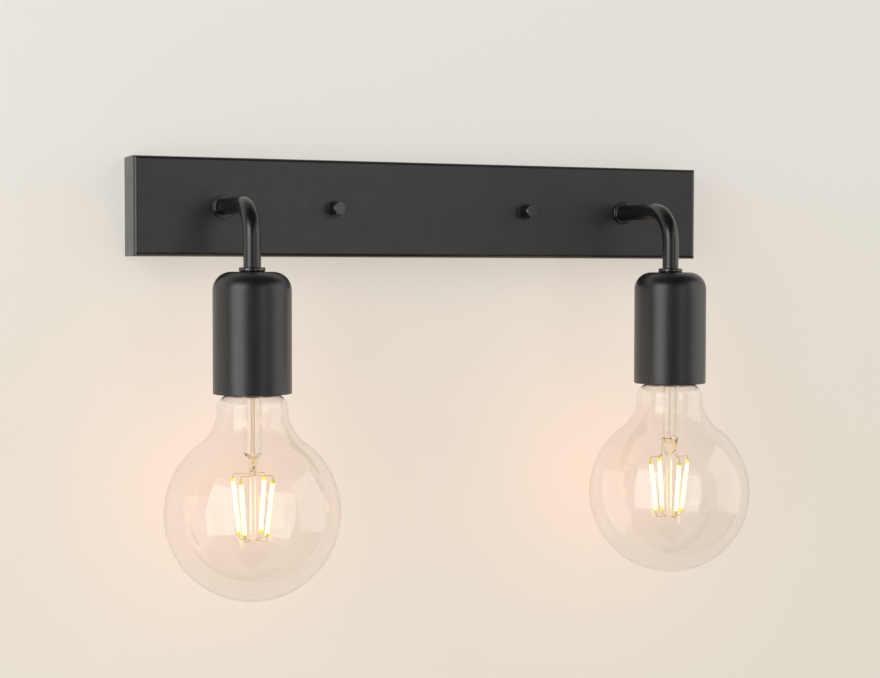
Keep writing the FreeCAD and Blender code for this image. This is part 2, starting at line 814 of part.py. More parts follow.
def earth_tag():
    x = arm_spacing / 2
    start, axis = tag_barrel_place()
    end = start + tag_barrel_length
    eye = facing_in(Part.makeCylinder(tag_diameter / 2, tag_thickness), x, washer_face, 0)
    tail_corner = Vector(end - tag_thickness, washer_face, -tag_tail_width / 2)
    tail = Part.makeBox(x - tail_corner.x, tag_thickness, tag_tail_width, tail_corner)
    barrel = along_x(tag_barrel_diameter, start, end, axis, 0)
    tag = eye.fuse([tail, barrel])
    bore = hole_through(tube_diameter + 2 * tube_clearance, x, 0, washer_face, washer_face + tag_thickness)
    return tag.cut([bore, along_x(core_diameter + 2 * small_gap, start, end, axis, 0)])


def routed(points, fixed):
    """Insulated lead through the points. Each bend is as large as its two runs allow, unless its
    radius is fixed by what holds it. Both ends are stripped."""
    radii = [0]
    for index in range(1, len(points) - 1):
        back = points[index - 1] - points[index]
        ahead = points[index + 1] - points[index]
        turn = math.pi - back.getAngle(ahead)
        room = bend_share * min(back.Length, ahead.Length) / math.tan(turn / 2)
        radii.append(fixed.get(index, room))
    lead = swept(rounded_wire(points, radii + [0], closed=False), lead_diameter)
    cores = []
    for end, inner in ((points[0], points[1]), (points[-1], points[-2])):
        away = (end - inner).normalize()
        start = end - away * core_length
        cores.append(Part.makeCylinder(core_diameter / 2, 2 * core_length, start, away))
    return lead.fuse(cores)


def lamp_lead(side, lane):
    """Lead from one side's lampholder through its arm to the terminal block, above the studs for
    lane 1 and below them for lane -1."""
    x = side * arm_spacing / 2
    shift = side * lane
    in_tube = x + shift * lead_offset
    at_holder = x + shift * terminal_offset
    pole = lane * pole_pitch
    points = [
        Vector(at_holder, arm_axis, block_top + small_gap),
        Vector(at_holder, arm_axis, block_top + lead_rise),
        Vector(in_tube, arm_axis, tube_end - lead_lead_in),
        Vector(in_tube, arm_axis, 0),
        Vector(in_tube, pole_axis, 0),
    ]
    block_end = block_place + side * (terminal_length / 2 - entry_depth + small_gap)
    if side < 0:
        lane_height = lane * lead_lane_height
        points.append(Vector(in_tube, pole_axis, lane_height))
        points.append(Vector(block_end - lane_turn_length, pole_axis, lane_height))
        points.append(Vector(block_end - lane_straight_length, pole_axis, pole))
    else:
        points.append(Vector(in_tube, pole_axis, pole))
    points.append(Vector(block_end, pole_axis, pole))
    room_behind_tube = pole_axis - tube_tail
    fixed = {3: arm_bend_radius, 4: min(room_behind_tube, bend_share * abs(points[5].z))}
    return routed(points, fixed)


def earth_lead():
    start = block_place + terminal_length / 2 - entry_depth + small_gap
    end, axis = tag_barrel_place()
    points = [
        Vector(start, pole_axis, 0),
        Vector(start + earth_lead_straight, pole_axis, 0),
        Vector(end - earth_lead_straight, axis, 0),
        Vector(end - small_gap, axis, 0),
    ]
    return routed(points, {})


def grouped(shapes):
    return Part.makeCompound(shapes) if isinstance(shapes, list) else shapes


def in_lamp(shape, name):
    """Places a bulb piece, built about the Z axis, in its side's lampholder."""
    placed = grouped(shape).copy()
    placed.rotate(ORIGIN, UP, bulb_turn_degrees[name])
    placed.translate(Vector(SIDES[name] * arm_spacing / 2, arm_axis, 0))
    return placed


def fixed_pieces():
    pieces = {
        "backplate": backplate(),
        "wall_bracket": wall_bracket(),
        "mounting_studs": mounting_studs(),
        "stud_lock_nuts": stud_lock_nuts(),
        "arm_washers": arm_washers(),
        "arm_nuts": arm_nuts(),
        "holder_screws": holder_screws(),
        "terminal_block": terminal_block(),
        "terminal_sleeves": terminal_sleeves(),
        "terminal_screws": terminal_screws(),
        "block_screw": block_screw(),
        "earth_screw": earth_screw(),
        "earth_tag": earth_tag(),
        "earth_lead": earth_lead(),
    }
    makers = (arm_tube, wall_ferrule, cup_collar, cup, holder_bush, holder_dome, holder_skirt)
    makers += (contact_block, socket_shell, centre_contact)
    for name, side in SIDES.items():
        for make in makers:
            pieces[name + "_" + make.__name__] = make(side * arm_spacing / 2)
        pieces[name + "_live_lead"] = lamp_lead(side, 1)
        pieces[name + "_neutral_lead"] = lamp_lead(side, -1)
    return pieces


def moving_pieces():
    pieces = {}
    bulb_makers = (tip_contact, bulb_glass, screw_cap, cap_insulator, driver_board)
    bulb_makers += (glass_stem, support_wires, filaments)
    built = {make.__name__: make() for make in bulb_makers}
    for name, side in SIDES.items():
        pieces[name + "_nut_washer"] = nut_washer(side)
        pieces[name + "_cap_nut"] = cap_nut(side)
        for piece, shape in built.items():
            pieces[name + "_" + piece] = in_lamp(shape, name)
    return pieces


def main():
    os.makedirs("parts", exist_ok=True)
    pieces = fixed_pieces()
    pieces.update(moving_pieces())
    for node, shape in pieces.items():
        grouped(shape).exportStep("parts/" + node + ".step")


main()
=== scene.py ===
"""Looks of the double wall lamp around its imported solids. The lamp's lengths are in millimetres
until a mesh is made, and those of the room, lights and camera are in metres. The origin, X, Y and
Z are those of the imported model."""

import math

import bmesh
import bpy
from mathutils import Matrix, Vector


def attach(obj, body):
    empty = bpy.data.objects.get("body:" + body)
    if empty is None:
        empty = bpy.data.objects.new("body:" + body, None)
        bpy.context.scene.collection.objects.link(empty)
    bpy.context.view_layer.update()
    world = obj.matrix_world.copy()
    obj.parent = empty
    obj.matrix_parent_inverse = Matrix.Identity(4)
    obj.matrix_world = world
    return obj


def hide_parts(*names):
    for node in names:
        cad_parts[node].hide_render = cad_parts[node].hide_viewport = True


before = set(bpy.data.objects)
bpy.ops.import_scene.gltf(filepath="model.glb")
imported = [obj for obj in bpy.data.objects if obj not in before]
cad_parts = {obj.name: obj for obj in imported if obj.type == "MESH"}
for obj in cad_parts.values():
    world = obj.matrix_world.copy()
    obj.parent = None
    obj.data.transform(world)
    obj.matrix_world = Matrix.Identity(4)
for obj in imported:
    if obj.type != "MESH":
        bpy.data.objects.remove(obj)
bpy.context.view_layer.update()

MM = 0.001
TURN = 2 * math.pi
SIDES = {"left": -1, "right": 1}

# Sizes that the solids have too
plate_front = -26.7
plate_inside = -25.5
arm_x = 127.15
arm_axis = -89.0
arm_bend = 20.0
tube_radius = 4.75
tube_bore = 3.75
tube_clearance = 0.15
tube_hole = tube_radius + tube_clearance
tube_tail = -18.2
tube_end = -47.0
cup_top = -36.8
ceiling = -38.0
cup_rim = -102.5
cup_radius = 21.2
cup_wall = 1.2
cup_shoulder = 10.0
stud_x = 60.85
stud_head_back = -1.0
stud_tip = -33.7
nut_seat = -27.6
globe_radius = 47.5
globe_centre = -167.145
neck_radius = 19.2
neck_fillet = 22.0
seal_radius = 12.65
neck_top = -96.65
cap_edge = -102.65
cap_shell_top = -80.65
bulb_tip = -76.15
screw_pitch = 3.629
bulb_turn = {"left": math.radians(90), "right": math.radians(-45)}

# Sizes of the scene alone. The glass is thinner than the solid, with a tighter shoulder.
glass_wall = 0.55
neck_shoulder = 7.0
shoulder_centre = -109.89
washer_gap = 0.05
fine_pitch = 1.0
fine_depth = 0.38
screw_segments = 96

# Edges that bend by more degrees than this are sharp: on most pieces, then on glass and filaments
sharp_angle = 38.0
blown_angle = 60.0


# Outlines and meshes


def smooth(value):
    """0 up to 1 with a soft start and end."""
    value = min(1.0, max(0.0, value))
    return value * value * (3 - 2 * value)


def rounded(stops, steps=6):
    """Outline through (radius, height, rounding) stops, with an arc at each rounded one."""
    outline = []
    for index, (radius, height, rounding) in enumerate(stops):
        corner = Vector((radius, height))
        if rounding == 0:
            outline.append(corner)
            continue
        before = Vector(stops[index - 1][:2])
        after = Vector(stops[(index + 1) % len(stops)][:2])
        back = (before - corner).normalized()
        ahead = (after - corner).normalized()
        half = back.angle(ahead) / 2
        centre = corner + (back + ahead).normalized() * (rounding / math.sin(half))
        start = corner + back * (rounding / math.tan(half)) - centre
        sweep = math.pi - 2 * half
        if back.x * ahead.y - back.y * ahead.x > 0:
            sweep = -sweep
        for step in range(steps + 1):
            outline.append(centre + Matrix.Rotation(sweep * step / steps, 2) @ start)
    return outline


def oval_row(width, depth, height, segments=64):
    """Points round an upright oval, given as half its width and half its depth."""
    angles = [TURN * index / segments for index in range(segments)]
    return [(width * math.cos(angle), depth * math.sin(angle), height) for angle in angles]


def strip(lower, upper):
    """Faces between two rows of points, either of which may be a single point."""
    count = max(len(lower), len(upper))
    if len(lower) == len(upper) == 1:
        return []
    faces = []
    for index in range(count):
        ahead = (index + 1) % count
        corners = [lower[index % len(lower)], lower[ahead % len(lower)]]
        corners += [upper[ahead % len(upper)], upper[index % len(upper)]]
        faces.append(tuple(dict.fromkeys(corners)))
    return faces


def joined_rows(rows, closed):
    """Points and faces of rows of points, where a row of one point closes a pole."""
    points, numbered = [], []
    for row in rows:
        numbered.append(range(len(points), len(points) + len(row)))
        points += row
    faces = []
    for lower, upper in zip(numbered, numbered[1:]):
        faces += strip(lower, upper)
    if closed:
        faces += strip(numbered[-1], numbered[0])
    return points, faces


def wave_at(height, angle, pitch):
    """Right-handed rounded thread: 1 on its crest and 0 at its root."""
    return 0.5 + 0.5 * math.cos(TURN * height / pitch - angle)


def turned(outline, segments=96, closed=True, pitch=1.0):
    """Outline turned about Z. A third number in a stop is the depth of the thread there, and a stop
    on the axis is a pole."""
    on_axis = 1e-4
    rows = []
    for stop in outline:
        radius, height = stop[0], stop[1]
        depth = stop[2] if len(stop) > 2 else 0
        if radius < on_axis:
            rows.append([(0, 0, height)])
            continue
        row = []
        for index in range(segments):
            angle = TURN * index / segments
            at = radius
            if depth:
                at -= depth * (1 - wave_at(height, angle, pitch))
            row.append((at * math.cos(angle), at * math.sin(angle), height))
        rows.append(row)
    return joined_rows(rows, closed)


def thread_rows(low, high, base, depth, steps, offset=0.0):
    """Stops up a threaded wall whose base radius and thread depth follow two functions of height."""
    rows = []
    for step in range(steps + 1):
        height = low + (high - low) * step / steps
        rows.append((base(height) + offset, height, depth(height)))
    return rows


def placed(shape, place):
    """Shape with each point moved by the place, a function of its three coordinates."""
    points, faces = shape
    return [place(*point) for point in points], faces


def upright(x):
    """Place about the vertical axis of the lamp at x."""
    return lambda a, b, c: (x + a, arm_axis + b, c)


def in_lamp(name):
    """Place about the axis of one side's bulb, turned as that bulb sits."""
    cosine, sine = math.cos(bulb_turn[name]), math.sin(bulb_turn[name])
    x = SIDES[name] * arm_x
    return lambda a, b, c: (x + a * cosine - b * sine, arm_axis + a * sine + b * cosine, c)


def facing_out(x, y):
    """Place where a shape's Z looks out of the wall."""
    return lambda a, b, c: (x + a, y - c, b)


def together(shapes):
    """One set of points, faces and material numbers from (shape, material number) pairs."""
    points, faces, numbers = [], [], []
    for (some_points, some_faces), number in shapes:
        start = len(points)
        points += some_points
        faces += [tuple(start + corner for corner in face) for face in some_faces]
        numbers += number if isinstance(number, list) else [number] * len(some_faces)
    return points, faces, numbers


def settle(piece):
    """Keeps the result of the piece's modifiers as its mesh."""
    seen = piece.evaluated_get(bpy.context.evaluated_depsgraph_get())
    mesh = bpy.data.meshes.new_from_object(seen)
    piece.modifiers.clear()
    piece.data = mesh


def outward(mesh):
    """Turns the faces so that they look out of the shape."""
    work = bmesh.new()
    work.from_mesh(mesh)
    bmesh.ops.recalc_face_normals(work, faces=work.faces)
    work.to_mesh(mesh)
    work.free()


def in_scene(name, data):
    """New object in the scene."""
    made = bpy.data.objects.new(name, data)
    bpy.context.scene.collection.objects.link(made)
    return made


def make(name, shapes, materials, crease=sharp_angle):
    """Object with a mesh of (shape, material number) pairs, sharp where it bends more than crease."""
    points, faces, numbers = together(shapes)
    mesh = bpy.data.meshes.new(name)
    mesh.from_pydata([Vector(point) * MM for point in points], [], faces)
    outward(mesh)
    for material in materials:
        mesh.materials.append(material)
    mesh.polygons.foreach_set("material_index", numbers)
    mesh.polygons.foreach_set("use_smooth", [True] * len(faces))
    mesh.set_sharp_from_angle(angle=math.radians(crease))
    mesh.update()
    return in_scene(name, mesh)


def stand_in(piece, node, body):
    """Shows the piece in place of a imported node, on its body."""
    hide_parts(node)
    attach(piece, body)


def softened(piece, width):
    """Breaks the piece's sharp edges."""
    bevel = piece.modifiers.new("edges", "BEVEL")
    bevel.width = width * MM
    bevel.segments = 2
    bevel.limit_method = "ANGLE"
    bevel.angle_limit = math.radians(30)
    settle(piece)
    piece.data.set_sharp_from_angle(angle=math.radians(50))


# Materials


class Nodes:
    """Node tree with short ways to add to it."""

    def __init__(self, tree):
        self.tree = tree

    def link(self, start, end):
        """Joins an output to an input."""
        self.tree.links.new(start, end)

    def give(self, socket, value):
        """Sets an input to a number or a colour, or links it where the value is another socket."""
        if isinstance(value, bpy.types.NodeSocket):
            self.link(value, socket)
        elif isinstance(value, tuple):
            socket.default_value = (*value, 1.0)
        else:
            socket.default_value = value

    def node(self, kind, **values):
        """New node. Each value sets a property of it or, where it has none of that name, an input."""
        made = self.tree.nodes.new(kind)
        for key, value in values.items():
            if hasattr(made, key):
                setattr(made, key, value)
            else:
                made.inputs[key.replace("_", " ")].default_value = value
        return made

    def output(self, kind, name):
        """One output of a new node."""
        return self.node(kind).outputs[name]

    def part(self, vector, axis):
        """One coordinate of a vector."""
        apart = self.node("ShaderNodeSeparateXYZ")
        self.link(vector, apart.inputs["Vector"])
        return apart.outputs[axis]

    def computed(self, operation, *values):
        """Result of a sum whose values are numbers or sockets."""
        made = self.node("ShaderNodeMath", operation=operation)
        for socket, value in zip(made.inputs, values):
            self.give(socket, value)
        return made.outputs["Value"]

    def scaled(self, value, low, high, to_low, to_high):
        """Value carried from one range to another, and held inside that."""
        change = self.node("ShaderNodeMapRange")
        numbers = {"From Min": low, "From Max": high, "To Min": to_low, "To Max": to_high}
        for key, number in numbers.items():
            change.inputs[key].default_value = number
        self.link(value, change.inputs["Value"])
        return change.outputs["Result"]

    def mixed(self, share, first, second):
        """Colour between first and second, each a colour or a socket."""
        mix = self.node("ShaderNodeMix", data_type="RGBA")
        for number, value in ((0, share), (6, first), (7, second)):
            self.give(mix.inputs[number], value)
        return mix.outputs[2]

    def chosen(self, share, first, second):
        """Number between first and second, each a number or a socket."""
        mix = self.node("ShaderNodeMix")
        for number, value in ((0, share), (2, first), (3, second)):
            self.give(mix.inputs[number], value)
        return mix.outputs[0]


class Finish(Nodes):
    """Nodes of one material, with its detail placed on the object in millimetres."""

    def __init__(self, name, roughness, metallic=0.0, ior=1.5):
        self.material = bpy.data.materials.new(name)
        self.material.use_nodes = True
        super().__init__(self.material.node_tree)
        self.shader = self.tree.nodes["Principled BSDF"]
        self.shader.inputs["Roughness"].default_value = roughness
        self.shader.inputs["Metallic"].default_value = metallic
        self.shader.inputs["IOR"].default_value = ior
        self.where = self.output("ShaderNodeTexCoord", "Object")
        self.normal = None

    def noise(self, size, detail=2.0, stretch=(1, 1, 1)):
        """Noise between 0 and 1 with features about size across, longer where stretch is more."""
        mapping = self.node("ShaderNodeMapping")
        mapping.inputs["Scale"].default_value = [1000 / size / part for part in stretch]
        noise = self.node("ShaderNodeTexNoise", Scale=1.0, Detail=detail)
        self.link(self.where, mapping.inputs["Vector"])
        self.link(mapping.outputs["Vector"], noise.inputs["Vector"])
        return noise.outputs["Fac"]

    def flakes(self, size):
        """A steady random number between 0 and 1 in each cell about size across."""
        cells = self.node("ShaderNodeTexVoronoi", Scale=1000 / size)
        self.link(self.where, cells.inputs["Vector"])
        apart = self.node("ShaderNodeSeparateColor")
        self.link(cells.outputs["Color"], apart.inputs["Color"])
        return apart.outputs["Red"]

    def along(self, axis, low, high):
        """0 to 1 as the place goes from low to high along an axis."""
        return self.scaled(self.part(self.where, axis), low * MM, high * MM, 0.0, 1.0)

    def colour(self, value):
        """Takes the base colour from a socket."""
        self.link(value, self.shader.inputs["Base Color"])

    def roughness(self, value, low, high):
        """Roughness from low to high over the range that noise mostly covers."""
        self.link(self.scaled(value, 0.3, 0.7, low, high), self.shader.inputs["Roughness"])

    def bump(self, value, depth):
        """Adds relief of that depth in millimetres."""
        bump = self.node("ShaderNodeBump", Distance=depth * MM, Strength=1.0)
        self.link(value, bump.inputs["Height"])
        if self.normal is not None:
            self.link(self.normal, bump.inputs["Normal"])
        self.normal = bump.outputs["Normal"]
        self.link(self.normal, self.shader.inputs["Normal"])

    def glow(self, colour, strength):
        """Light that the surface gives off."""
        self.give(self.shader.inputs["Emission Color"], colour)
        self.give(self.shader.inputs["Emission Strength"], strength)

    def clear_where(self, share, tint=(1.0, 1.0, 1.0)):
        """Swaps the material for plain transparency where share is 1."""
        clear = self.node("ShaderNodeBsdfTransparent")
        self.give(clear.inputs["Color"], tint)
        mix = self.node("ShaderNodeMixShader")
        self.link(share, mix.inputs[0])
        self.link(self.shader.outputs["BSDF"], mix.inputs[1])
        self.link(clear.outputs["BSDF"], mix.inputs[2])
        self.link(mix.outputs["Shader"], self.tree.nodes["Material Output"].inputs["Surface"])


def painted(name, dark, light, rough, grain, relief, ior, specks=0.5):
    """Powder coat or paint: fine orange peel, faint cloudiness and uneven sheen."""
    made = Finish(name, sum(rough) / 2, ior=ior)
    clouds = made.scaled(made.noise(22, 3), 0.35, 0.65, 0.0, 1.0)
    dots = made.scaled(made.noise(0.35, 1), 0.62, 0.72, 0.0, specks)
    base = made.mixed(clouds, dark, light)
    made.colour(made.mixed(dots, base, tuple(1.5 * part for part in light)))
    made.roughness(made.noise(9, 4), *rough)
    made.bump(made.noise(grain, 2), relief)
    made.bump(made.noise(grain * 6, 2), relief * 1.5)
    return made.material


def plated(name, dark, light, rough, flake=0.8):
    """Zinc, brass or tin: small crystals, cloudy tone and fine drawing marks."""
    made = Finish(name, sum(rough) / 2, metallic=1.0)
    tone = made.mixed(made.flakes(flake), dark, light)
    dull = tuple(0.72 * part for part in dark)
    made.colour(made.mixed(made.scaled(made.noise(6, 4), 0.5, 0.8, 0.0, 0.6), tone, dull))
    made.roughness(made.noise(1.6, 5), *rough)
    made.bump(made.noise(0.25, 2), 0.01)
    return made.material


def drawn(name, dark, light, rough, stretch):
    """Formed sheet or wire with marks along its length."""
    made = Finish(name, sum(rough) / 2, metallic=1.0)
    made.colour(made.mixed(made.noise(5, 3), dark, light))
    made.roughness(made.noise(0.5, 3, stretch), *rough)
    made.bump(made.noise(0.3, 2, stretch), 0.008)
    return made.material


def moulded(name, dark, light, rough, grain=0.4, relief=0.012):
    """Plastic, ceramic or cast glass, with a faint grain."""
    made = Finish(name, sum(rough) / 2)
    made.colour(made.mixed(made.noise(8, 4), dark, light))
    made.roughness(made.noise(2.5, 4), *rough)
    made.bump(made.noise(grain, 3), relief)
    return made.material


def glass(name, tint, ripple, relief, ior):
    """Clear blown glass with faint waves in its surface and a film of handling marks. Shadow and
    soft rays pass it, so that the lamps reach what is in and behind it."""
    made = Finish(name, 0.0, ior=ior)
    made.shader.inputs["Transmission Weight"].default_value = 1.0
    made.shader.inputs["Specular IOR Level"].default_value = 0.42
    clearer = tuple(min(1.0, 1.01 * part) for part in tint)
    made.colour(made.mixed(made.noise(30, 2), tint, clearer))
    made.roughness(made.noise(12, 4), 0.0, 0.02)
    made.bump(made.noise(ripple, 1), relief)
    rays = made.node("ShaderNodeLightPath").outputs
    passing = made.computed("MAXIMUM", rays["Is Shadow Ray"], rays["Is Diffuse Ray"])
    made.clear_where(passing, (0.97, 0.97, 0.96))
    return made.material


def coated(name, dark, light, rough, grain, glow, strength):
    """Phosphor coat over a row of chips."""
    made = Finish(name, sum(rough) / 2)
    made.colour(made.mixed(made.noise(0.8, 2), dark, light))
    made.roughness(made.noise(0.5, 2), *rough)
    made.bump(made.noise(grain, 2), 0.02)
    made.glow(glow, strength)
    return made.material


def earth_stripes():
    """Green insulation with a yellow stripe."""
    made = Finish("earth_insulation", 0.45)
    stripe = made.along("Z", 0.25, 0.35)
    green = made.mixed(made.noise(3, 3), (0.03, 0.24, 0.04), (0.05, 0.3, 0.06))
    made.colour(made.mixed(stripe, green, (0.72, 0.6, 0.05)))
    made.roughness(made.noise(1.5, 3), 0.38, 0.52)
    made.bump(made.noise(0.5, 2), 0.01)
    return made.material


def board_resin():
    """Green lacquer of a circuit board."""
    made = Finish("circuit_board", 0.4)
    made.colour(made.mixed(made.noise(1.2, 3), (0.03, 0.12, 0.05), (0.06, 0.2, 0.08)))
    made.roughness(made.noise(0.8, 3), 0.3, 0.5)
    made.bump(made.noise(0.6, 3), 0.02)
    return made.material


black_sheet = painted(
    "black_sheet", (0.009, 0.0089, 0.0086), (0.013, 0.0128, 0.0124), (0.32, 0.38),
    grain=0.7, relief=0.004, ior=1.76)
black_cup = painted(
    "black_cup", (0.006, 0.0058, 0.0055), (0.009, 0.0087, 0.0084), (0.32, 0.37),
    grain=0.6, relief=0.006, ior=1.68)
black_tube = painted(
    "black_tube", (0.005, 0.0049, 0.0047), (0.007, 0.0068, 0.0066), (0.25, 0.27),
    grain=0.9, relief=0.001, ior=1.68, specks=0.2)
black_fittings = painted(
    "black_fittings", (0.005, 0.0049, 0.0047), (0.007, 0.0068, 0.0066), (0.13, 0.17),
    grain=0.8, relief=0.001, ior=1.85)
black_nuts = painted(
    "black_nuts", (0.008, 0.0078, 0.0076), (0.011, 0.0108, 0.0105), (0.21, 0.25),
    grain=0.8, relief=0.001, ior=1.86)
bracket_steel = plated("bracket_steel", (0.5, 0.51, 0.52), (0.62, 0.63, 0.64), (0.28, 0.42), flake=3.5)
zinc_steel = plated("zinc_steel", (0.52, 0.52, 0.5), (0.64, 0.64, 0.62), (0.25, 0.38))
brass = plated("brass", (0.62, 0.44, 0.18), (0.75, 0.56, 0.26), (0.22, 0.36), flake=0.5)
tinned_copper = plated("tinned_copper", (0.6, 0.57, 0.53), (0.7, 0.68, 0.64), (0.25, 0.4), flake=0.6)
block_plastic = moulded("block_plastic", (0.74, 0.72, 0.66), (0.8, 0.78, 0.73), (0.4, 0.52))
holder_plastic = moulded("holder_plastic", (0.018, 0.018, 0.018), (0.028, 0.027, 0.026), (0.3, 0.44))
ceramic = moulded("ceramic", (0.72, 0.69, 0.62), (0.8, 0.77, 0.71), (0.5, 0.68), grain=0.3, relief=0.02)
socket_metal = drawn("socket_metal", (0.6, 0.6, 0.59), (0.72, 0.72, 0.71), (0.22, 0.36), (4, 4, 0.6))
cap_metal = drawn("cap_metal", (0.68, 0.67, 0.65), (0.78, 0.77, 0.75), (0.2, 0.34), (4, 4, 0.6))
live_insulation = moulded("live_insulation", (0.13, 0.05, 0.02), (0.18, 0.075, 0.03), (0.36, 0.48))
neutral_insulation = moulded("neutral_insulation", (0.02, 0.09, 0.32), (0.03, 0.13, 0.42), (0.36, 0.48))
earth_insulation = earth_stripes()
solder = plated("solder", (0.58, 0.58, 0.59), (0.7, 0.7, 0.7), (0.22, 0.4), flake=0.4)
cap_glass = moulded(
    "cap_glass", (0.012, 0.012, 0.016), (0.02, 0.02, 0.026), (0.08, 0.18),
    grain=1.2, relief=0.03)
circuit_board = board_resin()
wire_metal = drawn("wire_metal", (0.56, 0.4, 0.22), (0.7, 0.52, 0.3), (0.34, 0.5), (1, 1, 5))
sealed_wire = drawn("sealed_wire", (0.85, 0.5, 0.14), (0.95, 0.62, 0.22), (0.3, 0.45), (1, 1, 5))
tab_metal = drawn("tab_metal", (0.5, 0.48, 0.44), (0.62, 0.6, 0.56), (0.25, 0.4), (1, 1, 4))
clear_glass = glass("clear_glass", (0.958, 0.942, 0.929), ripple=26, relief=0.006, ior=1.4)
stem_glass = glass("stem_glass", (0.99, 0.99, 0.98), ripple=6, relief=0.02, ior=1.35)
# The press's amber tint is partly the colour of the wires sealed in it and partly painted glow of the filaments'
# light carried in the glass.
press_glass = glass("press_glass", (0.985, 0.93, 0.78), ripple=1.3, relief=0.35, ior=1.4)
exhaust_glass = glass("exhaust_glass", (0.985, 0.98, 0.965), ripple=3, relief=0.02, ior=1.05)
filament_lit = coated(
    "filament_lit", (0.95, 0.72, 0.18), (1.0, 0.82, 0.3), (0.5, 0.7),
    grain=0.5, glow=(1.0, 0.77, 0.25), strength=4.0)
filament_end = coated(
    "filament_end", (0.78, 0.68, 0.03), (0.86, 0.78, 0.06), (0.45, 0.6),
    grain=0.4, glow=(1.0, 0.8, 0.05), strength=0.25)

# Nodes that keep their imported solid, without the side in their name
packed_looks = {
    "backplate": black_sheet,
    "wall_bracket": bracket_steel,
    "stud_lock_nuts": zinc_steel,
    "arm_washers": zinc_steel,
    "arm_nuts": zinc_steel,
    "block_screw": zinc_steel,
    "holder_screws": zinc_steel,
    "terminal_screws": zinc_steel,
    "earth_screw": brass,
    "terminal_sleeves": brass,
    "earth_tag": tinned_copper,
    "terminal_block": block_plastic,
    "earth_lead": earth_insulation,
    "holder_bush": zinc_steel,
    "holder_dome": holder_plastic,
    "holder_skirt": holder_plastic,
    "contact_block": ceramic,
    "centre_contact": brass,
    "live_lead": live_insulation,
    "neutral_lead": neutral_insulation,
    "driver_board": circuit_board,
    "support_wires": wire_metal,
}


def dress_packed_nodes():
    """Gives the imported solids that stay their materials."""
    for name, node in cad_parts.items():
        plain = name.removeprefix("left_").removeprefix("right_")
        look = packed_looks.get(plain)
        if look is None:
            continue
        if not node.material_slots:
            node.data.materials.append(look)
        for slot in node.material_slots:
            slot.material = look


# Pieces outside the bulb


def fine_thread(start, length, fade):
    """Stops of a fine thread: how far along the tube each is, and the thread's depth there. The
    share of the full depth is a function of how far into the thread a stop is."""
    rows_per_turn = 8
    steps = round(length / fine_pitch * rows_per_turn)
    stops = []
    for step in range(steps + 1):
        along = length * step / steps
        stops.append((start + along, fine_depth * fade(along)))
    return stops


def thread_ends(free, sunk):
    """Share of a thread's full depth, from how far a place is from its free and its sunk end."""
    free_fade, sunk_fade = 0.5, 1.5
    return smooth(free / free_fade) * smooth(sunk / sunk_fade)


def arm_tube(name):
    """Bent tube with a fine thread at both ends."""
    x = SIDES[name] * arm_x
    segments, bend_steps = 48, 28
    bend_start = arm_bend + arm_axis
    into_plate, end_thread = 0.6, 9.0
    tail_thread = tube_tail - (plate_inside - into_plate)
    straight = tube_tail - bend_start
    bend = arm_bend * math.pi / 2
    drop_start = straight + bend
    thread_start = drop_start + (-arm_bend - tube_end) - end_thread

    def tail_fade(along):
        return thread_ends(along, tail_thread - along)

    def end_fade(along):
        return thread_ends(end_thread - along, along)

    stops = fine_thread(0, tail_thread, tail_fade)
    stops += [(tail_thread + (straight - tail_thread) * share, 0) for share in (0.45, 0.7, 1.0)]
    stops += [(straight + bend * step / bend_steps, 0) for step in range(1, bend_steps + 1)]
    stops += [(drop_start + (thread_start - drop_start) * share, 0) for share in (0.5, 1.0)]
    stops += fine_thread(thread_start, end_thread, end_fade)[1:]

    outer, inner = [], []
    for along, depth in stops:
        if along <= straight:
            centre, out = Vector((x, tube_tail - along, 0)), Vector((0, 0, 1))
        elif along <= drop_start:
            turn = (along - straight) / arm_bend
            out = Vector((0, -math.sin(turn), math.cos(turn)))
            centre = Vector((x, bend_start, -arm_bend)) + out * arm_bend
        else:
            centre, out = Vector((x, arm_axis, -arm_bend - (along - drop_start))), Vector((0, -1, 0))
        for radius, rows, cut in ((tube_radius, outer, depth), (tube_bore, inner, 0)):
            row = []
            for index in range(segments):
                angle = TURN * index / segments
                at = radius - cut * (1 - wave_at(along, angle, fine_pitch))
                across = math.cos(angle) * Vector((1, 0, 0)) + math.sin(angle) * out
                row.append(tuple(centre + at * across))
            rows.append(row)
    return joined_rows(outer + inner[::-1], True)


def wall_ferrule():
    """Stepped disc on z = 0."""
    foot, neck = 6.9, 5.9
    step, top = 1.6, 2.8
    stops = [(tube_hole, 0, 0), (foot, 0, 0), (foot, step, 0.45), (neck, step, 0.15)]
    stops += [(neck, top, 0.45), (tube_hole, top, 0.1)]
    return turned(rounded(stops), 72)


def cup_collar():
    """Small rounded disc on top of the cup."""
    edge, top, edge_round = 7.15, cup_top + 2.35, 0.8
    stops = [(tube_hole, cup_top, 0), (edge, cup_top, edge_round)]
    stops += [(edge, top, edge_round), (tube_hole, top, 0.15)]
    return turned(rounded(stops), 72)


def cup():
    """Spun cup, with rows added down its long walls to keep their faces even."""
    inner = cup_radius - cup_wall
    rim_round, longest, parts = 0.55, 20, 6
    stops = [(tube_hole, cup_top, 0), (cup_radius, cup_top, cup_shoulder)]
    stops += [(cup_radius, cup_rim, rim_round), (inner, cup_rim, rim_round)]
    stops += [(inner, ceiling, cup_shoulder - cup_wall), (tube_hole, ceiling, 0)]
    outline = []
    for point in rounded(stops, 14):
        if outline and abs(point.y - outline[-1].y) > longest:
            start = outline[-1]
            outline += [start.lerp(point, part / parts) for part in range(1, parts)]
        outline.append(point)
    return turned(outline, 128)


